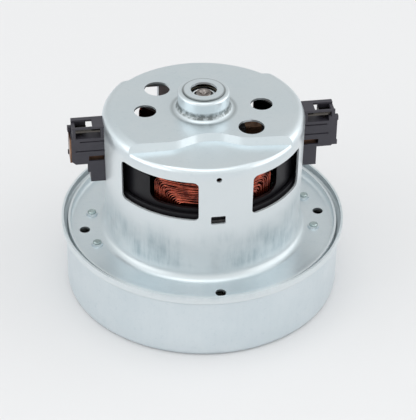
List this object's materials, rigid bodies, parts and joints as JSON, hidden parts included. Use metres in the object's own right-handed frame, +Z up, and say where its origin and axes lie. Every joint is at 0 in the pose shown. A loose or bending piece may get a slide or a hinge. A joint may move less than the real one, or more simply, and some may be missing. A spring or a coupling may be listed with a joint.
{
  "type": "vacuum cleaner motor",
  "caption": "Dry vacuum motor: fan under a flared drum cover, drawn frame with windows over copper field coils, brush holders on both sides and a bearing boss on top.",
  "frame": {"origin": "centre of the shaft line on the flat face round the air inlet, on which the motor stands", "axes": "+Z up along the shaft from the fan cover towards the bearing boss, +X through the right-hand brush holder, +Y to the back"},
  "size_m": [0.135, 0.135, 0.1044],
  "materials": {
    "zinc_plated_steel": "drawn sheet, zinc plated with a cool tint and faint upright draw marks",
    "bracket_steel": "pressed sheet, zinc plated",
    "screw_steel": "zinc plated thread-forming screws",
    "diffuser_plastic": "black moulded plastic",
    "lamination_steel": "stacked lamination edges",
    "black_moulding": "dark moulded insulation",
    "field_copper": "enamelled copper wire, reddish",
    "holder_plastic": "dark grey glass-filled moulding",
    "tube_brass": "drawn brass tube",
    "carbon": "pressed carbon",
    "spring_steel": "bright spring steel",
    "terminal_brass": "tinned brass strip",
    "bearing_steel": "ground bearing steel",
    "cage_plastic": "moulded cage",
    "shaft_steel": "ground shaft",
    "armature_copper": "varnished copper winding",
    "commutator_moulding": "dark brown moulding compound",
    "commutator_copper": "turned copper bars",
    "impeller_aluminium": "pressed aluminium sheet",
    "collar_steel": "turned steel",
    "nut_steel": "zinc plated nut"
  },
  "bodies": {
    "housing": {"fan_cover": "zinc_plated_steel", "motor_frame": "zinc_plated_steel", "bearing_bracket": "bracket_steel", "flange_screws": "screw_steel", "diffuser": "diffuser_plastic", "stator_core": "lamination_steel", "front_insulator": "black_moulding", "rear_insulator": "black_moulding", "front_field_coil": "field_copper", "rear_field_coil": "field_copper", "front_field_coil_turns": "field_copper", "rear_field_coil_turns": "field_copper", "left_brush_holder": "holder_plastic", "right_brush_holder": "holder_plastic", "left_brush_tube": "tube_brass", "right_brush_tube": "tube_brass", "left_brush_terminal": "terminal_brass", "right_brush_terminal": "terminal_brass", "upper_bearing_outer_ring": "bearing_steel", "lower_bearing_outer_ring": "bearing_steel", "preload_washer": "spring_steel", "left_brush_spring": "spring_steel", "right_brush_spring": "spring_steel"},
    "rotor": {"shaft": "shaft_steel", "armature_core": "lamination_steel", "armature_windings": "armature_copper", "commutator_hub": "commutator_moulding", "commutator_bars": "commutator_copper", "upper_bearing_inner_ring": "bearing_steel", "lower_bearing_inner_ring": "bearing_steel", "impeller_back_disc": "impeller_aluminium", "impeller_front_disc": "impeller_aluminium", "impeller_blades": "impeller_aluminium", "impeller_collar": "collar_steel", "impeller_washer": "collar_steel", "impeller_nut": "nut_steel"},
    "upper_ball_set": {"upper_bearing_balls": "bearing_steel", "upper_bearing_cage": "cage_plastic"},
    "lower_ball_set": {"lower_bearing_balls": "bearing_steel", "lower_bearing_cage": "cage_plastic"},
    "left_brush": {"left_carbon_brush": "carbon"},
    "right_brush": {"right_carbon_brush": "carbon"}
  },
  "joints": [
    {"name": "rotor_spin", "type": "hinge", "parent": "housing", "child": "rotor", "pos_m": [0, 0, 0.05], "axis": [0, 0, 1], "continuous": true},
    {"name": "upper_balls_spin", "type": "hinge", "parent": "housing", "child": "upper_ball_set", "pos_m": [0, 0, 0.0985], "axis": [0, 0, 1], "continuous": true},
    {"name": "lower_balls_spin", "type": "hinge", "parent": "housing", "child": "lower_ball_set", "pos_m": [0, 0, 0.032], "axis": [0, 0, 1], "continuous": true},
    {"name": "left_brush_slide", "type": "slide", "parent": "housing", "child": "left_brush", "axis": [-1, 0, 0], "range_m": [0, 0.003], "stiffness_N_per_m": 200, "springref_m": -0.015, "deforming": ["left_brush_spring"]},
    {"name": "right_brush_slide", "type": "slide", "parent": "housing", "child": "right_brush", "axis": [1, 0, 0], "range_m": [0, 0.003], "stiffness_N_per_m": 200, "springref_m": -0.015, "deforming": ["right_brush_spring"]}
  ],
  "couplings": [
    {"joint": "upper_balls_spin", "follows": "rotor_spin", "ratio": 0.3677},
    {"joint": "lower_balls_spin", "follows": "rotor_spin", "ratio": 0.3677}
  ]
}
